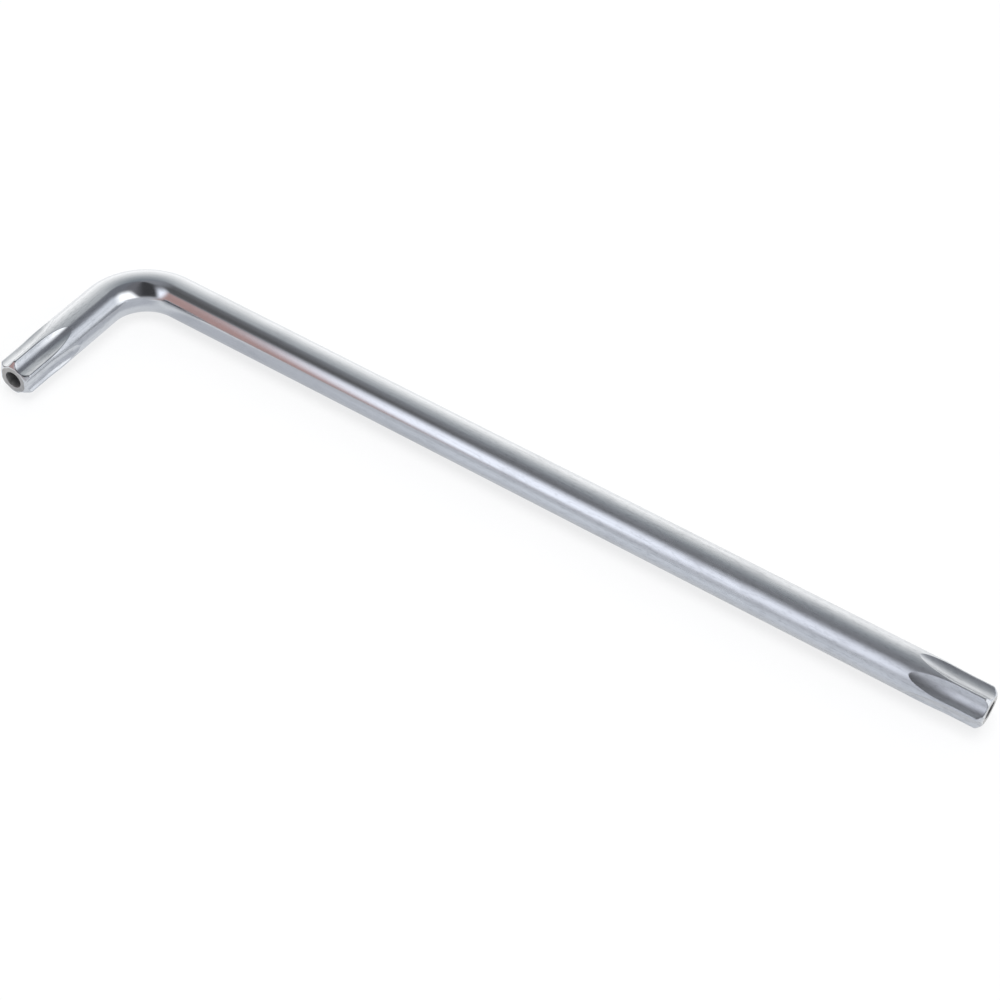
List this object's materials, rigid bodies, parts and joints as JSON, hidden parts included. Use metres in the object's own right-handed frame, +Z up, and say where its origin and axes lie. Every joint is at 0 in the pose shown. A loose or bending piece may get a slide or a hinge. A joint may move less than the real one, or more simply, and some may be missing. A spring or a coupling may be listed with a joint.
{
  "type": "star key",
  "caption": "Long-arm L-shaped key with a pin-hole star tip on each end, for turning tamper-resistant star screws by hand.",
  "frame": {"origin": "middle of the bottom of the key's box, with the key lying flat", "axes": "+X along the long arm towards its star, -Y along the short arm towards its star, +Z up"},
  "size_m": [0.204, 0.044, 0.009],
  "materials": {
    "plated_steel": "satin"
  },
  "bodies": {
    "root": {"short_star_tip": "plated_steel", "short_arm": "plated_steel", "bend": "plated_steel", "long_arm": "plated_steel", "long_star_tip": "plated_steel"}
  },
  "joints": []
}
